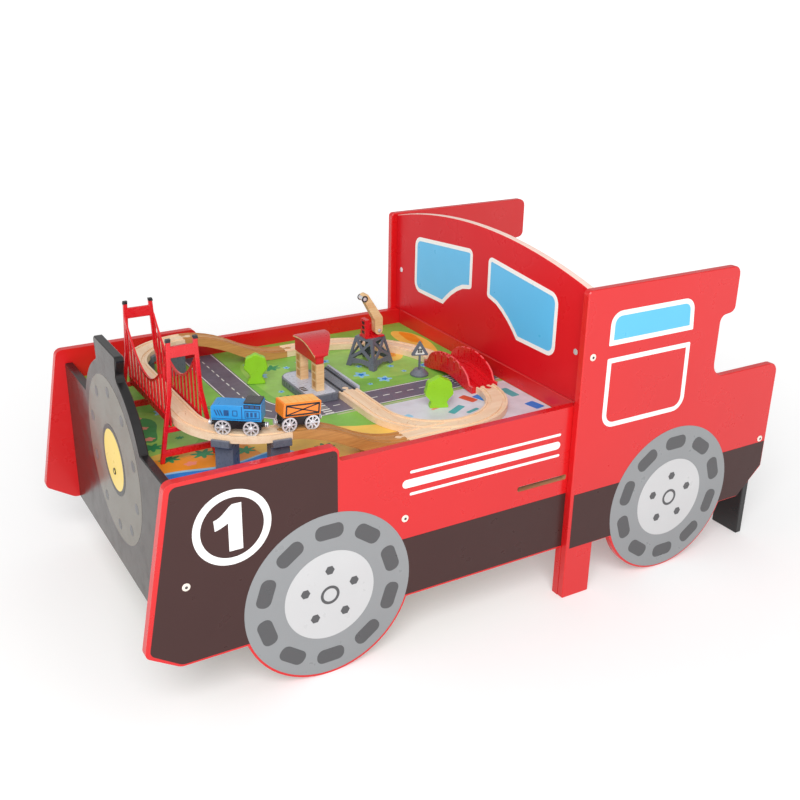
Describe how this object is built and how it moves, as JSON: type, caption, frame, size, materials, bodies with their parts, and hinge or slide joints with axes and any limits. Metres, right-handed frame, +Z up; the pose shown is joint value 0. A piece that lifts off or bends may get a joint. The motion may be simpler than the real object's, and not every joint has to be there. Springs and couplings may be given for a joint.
{
  "type": "train table",
  "caption": "Ride-on train table shaped like an engine: red board sides round a play board with a raised wooden railway, bridges, station, crane and a small train.",
  "frame": {"origin": "centre of the table's bounding box on the floor", "axes": "+Z up, -X towards the nose, +X towards the seat, -Y towards the left of a driver who faces the nose"},
  "size_m": [1.286, 0.67, 0.636],
  "materials": {
    "red_board": "satin red paint on fibreboard, with printed pictures",
    "black_board": "semi-gloss black paint on fibreboard",
    "play_print": "thin board with a printed landscape",
    "plain_wood": "bare planed wood",
    "beech": "sanded beech",
    "ramp_wood": "sanded wood, darker than the flat track",
    "grey_plastic": "moulded, satin",
    "red_plastic": "moulded, glossy",
    "leaf_green": "painted, satin",
    "sign_print": "printed",
    "loco_blue": "moulded, glossy",
    "wagon_orange": "painted, satin, with a printed frame",
    "chassis_black": "moulded, satin",
    "wheel_metal": "bright plated"
  },
  "bodies": {
    "table": {"side_panel_left": "red_board", "side_panel_right": "red_board", "cab_side_left": "red_board", "cab_side_right": "red_board", "front_panel": "black_board", "windshield_panel": "red_board", "tray_end_rail": "red_board", "rear_panel": "black_board", "play_board": "play_print", "board_cleat_left": "plain_wood", "board_cleat_right": "plain_wood", "board_stretcher": "plain_wood", "seat_board": "red_board", "seat_front_rail": "red_board", "seat_cleat_left": "plain_wood", "seat_cleat_right": "plain_wood", "deck_track": "beech", "raised_curve_near": "beech", "raised_curve_far": "beech", "ramp_near": "ramp_wood", "ramp_far": "ramp_wood", "turnout": "beech", "branch_curve": "beech", "branch_straight": "beech", "platform_track": "grey_plastic", "right_curve": "beech", "hump_bridge": "red_plastic", "far_curve_left": "beech", "far_curve_right": "beech", "far_straight": "beech", "pier_near_curve": "grey_plastic", "pier_near_ramp": "grey_plastic", "pier_far_curve": "grey_plastic", "pier_far_ramp": "grey_plastic", "tower_near": "red_plastic", "tower_far": "red_plastic", "net_left": "red_plastic", "net_right": "red_plastic", "crane_tower": "grey_plastic"},
    "station": {"station_platform": "grey_plastic", "station_post_near": "beech", "station_post_far": "beech", "station_roof": "red_plastic"},
    "crane_head": {"crane_fork": "red_plastic"},
    "boom": {"crane_boom": "beech", "boom_tip_pin": "wheel_metal"},
    "near_tree": {"tree_near": "leaf_green"},
    "far_tree": {"tree_far": "leaf_green"},
    "sign_stand": {"sign_base": "grey_plastic"},
    "sign": {"road_sign": "sign_print"},
    "loco": {"loco_chassis": "chassis_black", "loco_body": "loco_blue", "loco_roof": "chassis_black"},
    "loco_front_axle": {"loco_wheels_front": "wheel_metal"},
    "loco_rear_axle": {"loco_wheels_rear": "wheel_metal"},
    "wagon": {"wagon_chassis": "chassis_black", "wagon_box": "wagon_orange"},
    "wagon_front_axle": {"wagon_wheels_front": "wheel_metal"},
    "wagon_rear_axle": {"wagon_wheels_rear": "wheel_metal"}
  },
  "joints": [
    {"name": "loco_travel", "type": "hinge", "parent": "table", "child": "loco", "pos_m": [-0.372, -0.1247, 0.427], "axis": [0, 0, 1], "range_deg": [-20, 0]},
    {"name": "loco_front_axle_spin", "type": "hinge", "parent": "loco", "child": "loco_front_axle", "pos_m": [-0.46019, -0.21045, 0.4373], "axis": [0.5807, 0.8141, 0], "continuous": true},
    {"name": "loco_rear_axle_spin", "type": "hinge", "parent": "loco", "child": "loco_rear_axle", "pos_m": [-0.42436, -0.236, 0.4373], "axis": [0.5807, 0.8141, 0], "continuous": true},
    {"name": "wagon_lift", "type": "slide", "parent": "table", "child": "wagon", "axis": [0, 0, 1], "range_m": [0, 0.12]},
    {"name": "wagon_front_axle_spin", "type": "hinge", "parent": "wagon", "child": "wagon_front_axle", "pos_m": [-0.37454, -0.2477, 0.43726], "axis": [0, 1, 0], "continuous": true},
    {"name": "wagon_rear_axle_spin", "type": "hinge", "parent": "wagon", "child": "wagon_rear_axle", "pos_m": [-0.33569, -0.2477, 0.43389], "axis": [0, 1, 0], "continuous": true},
    {"name": "crane_slew", "type": "hinge", "parent": "table", "child": "crane_head", "pos_m": [-0.03, 0.107, 0.4156], "axis": [0, 0, 1], "continuous": true},
    {"name": "boom_luff", "type": "hinge", "parent": "crane_head", "child": "boom", "pos_m": [-0.018, 0.099, 0.4281], "axis": [0, 1, 0], "range_deg": [-12, 50]},
    {"name": "station_lift", "type": "slide", "parent": "table", "child": "station", "axis": [0, 0, 1], "range_m": [0, 0.15]},
    {"name": "near_tree_lift", "type": "slide", "parent": "table", "child": "near_tree", "axis": [0, 0, 1], "range_m": [0, 0.15]},
    {"name": "far_tree_lift", "type": "slide", "parent": "table", "child": "far_tree", "axis": [0, 0, 1], "range_m": [0, 0.15]},
    {"name": "sign_stand_lift", "type": "slide", "parent": "table", "child": "sign_stand", "axis": [0, 0, 1], "range_m": [0, 0.15]},
    {"name": "sign_pull", "type": "slide", "parent": "sign_stand", "child": "sign", "axis": [0, 0, 1], "range_m": [0, 0.04]}
  ]
}
